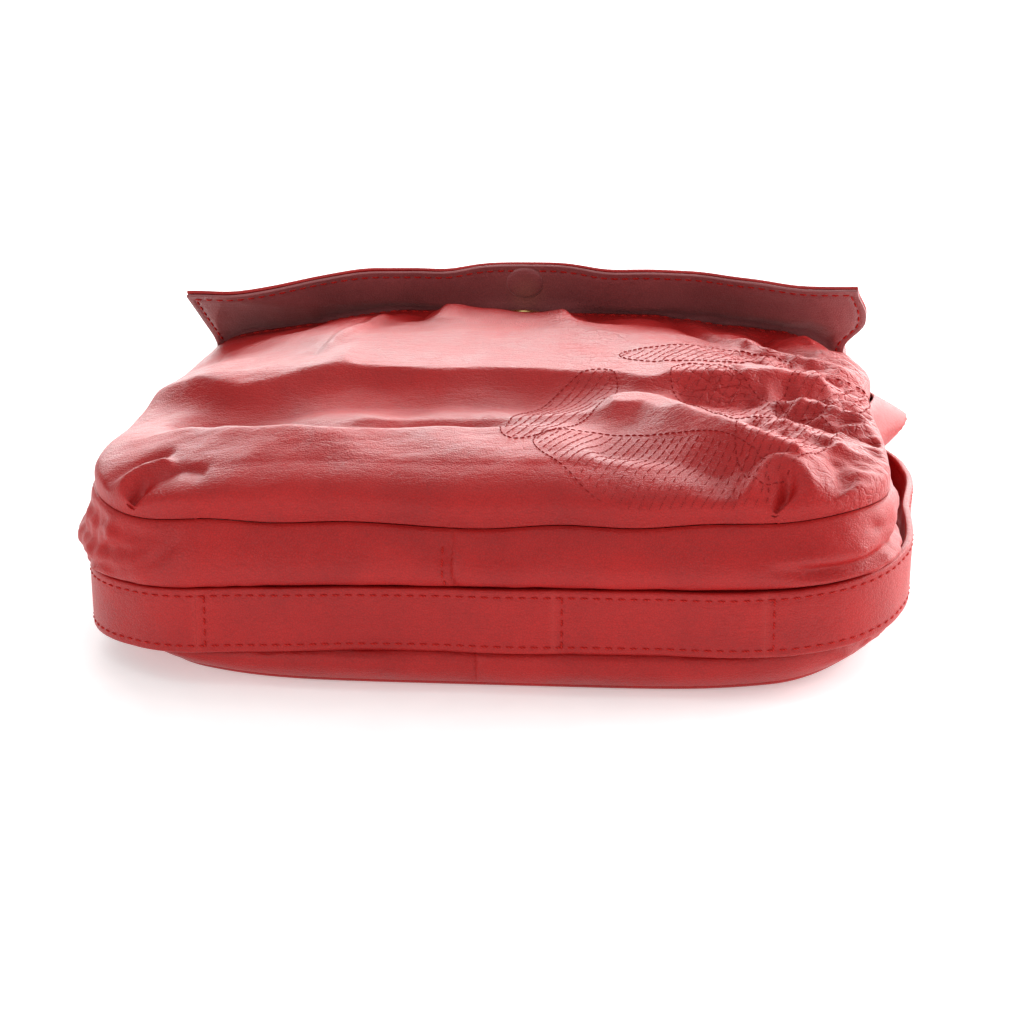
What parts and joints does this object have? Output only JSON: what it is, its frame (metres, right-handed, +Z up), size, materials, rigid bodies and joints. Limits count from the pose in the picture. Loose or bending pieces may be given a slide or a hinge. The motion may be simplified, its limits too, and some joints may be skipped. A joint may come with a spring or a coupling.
{
  "type": "crossbody purse",
  "caption": "Soft leather crossbody purse lying on its back, with a gusseted body, a stitched base band, a snap flap and a shoulder strap on rings.",
  "frame": {"origin": "middle of the back panel's resting face", "axes": "+Z up from the table through the front panel, +Y towards the mouth and the flap, +X to the right as the bag lies with its bottom towards the viewer"},
  "size_m": [0.3016, 0.429, 0.0979],
  "materials": {
    "red_leather": "soft pebbled nappa, semi-gloss",
    "underside_leather": "smooth, satin",
    "lining_cloth": "plain woven cotton",
    "brass": "polished"
  },
  "bodies": {
    "bag": {"back_panel": "red_leather", "front_panel": "red_leather", "gusset_left": "red_leather", "gusset_right": "red_leather", "front_facing": "underside_leather", "back_facing": "underside_leather", "lining_front": "lining_cloth", "lining_back": "lining_cloth", "lining_gusset_left": "lining_cloth", "lining_gusset_right": "lining_cloth", "band_left": "red_leather", "band_bottom_left": "red_leather", "band_bottom_right": "red_leather", "band_right": "red_leather", "tab_left": "red_leather", "tab_right": "red_leather", "snap_socket": "brass"},
    "ring_left": {"ring_left": "brass"},
    "ring_right": {"ring_right": "brass"},
    "strap": {"strap_end_left": "red_leather", "strap_end_right": "red_leather", "strap_left": "red_leather", "strap_middle": "red_leather", "strap_right": "red_leather"},
    "flap_top": {"flap_top_outer": "red_leather", "flap_top_lining": "underside_leather"},
    "flap_front": {"flap_front_outer": "red_leather", "flap_front_lining": "underside_leather", "snap_stud": "brass"}
  },
  "joints": [
    {"name": "strap_swing", "type": "hinge", "parent": "bag", "child": "strap", "pos_m": [0, 0.1251, 0.0275], "axis": [1, 0, 0], "range_deg": [-65, 65]},
    {"name": "ring_left_turn", "type": "hinge", "parent": "bag", "child": "ring_left", "pos_m": [-0.1343, 0.1251, 0.0275], "axis": [1, 0, 0], "continuous": true},
    {"name": "ring_right_turn", "type": "hinge", "parent": "bag", "child": "ring_right", "pos_m": [0.1343, 0.1251, 0.0275], "axis": [1, 0, 0], "continuous": true},
    {"name": "flap_hinge", "type": "hinge", "parent": "bag", "child": "flap_top", "pos_m": [0, 0.1041, 0.0011], "axis": [1, 0, 0], "range_deg": [-60, 0]},
    {"name": "flap_fold", "type": "hinge", "parent": "flap_top", "child": "flap_front", "pos_m": [0, 0.1041, 0.0817], "axis": [1, 0, 0], "range_deg": [-50, 57.5]}
  ]
}
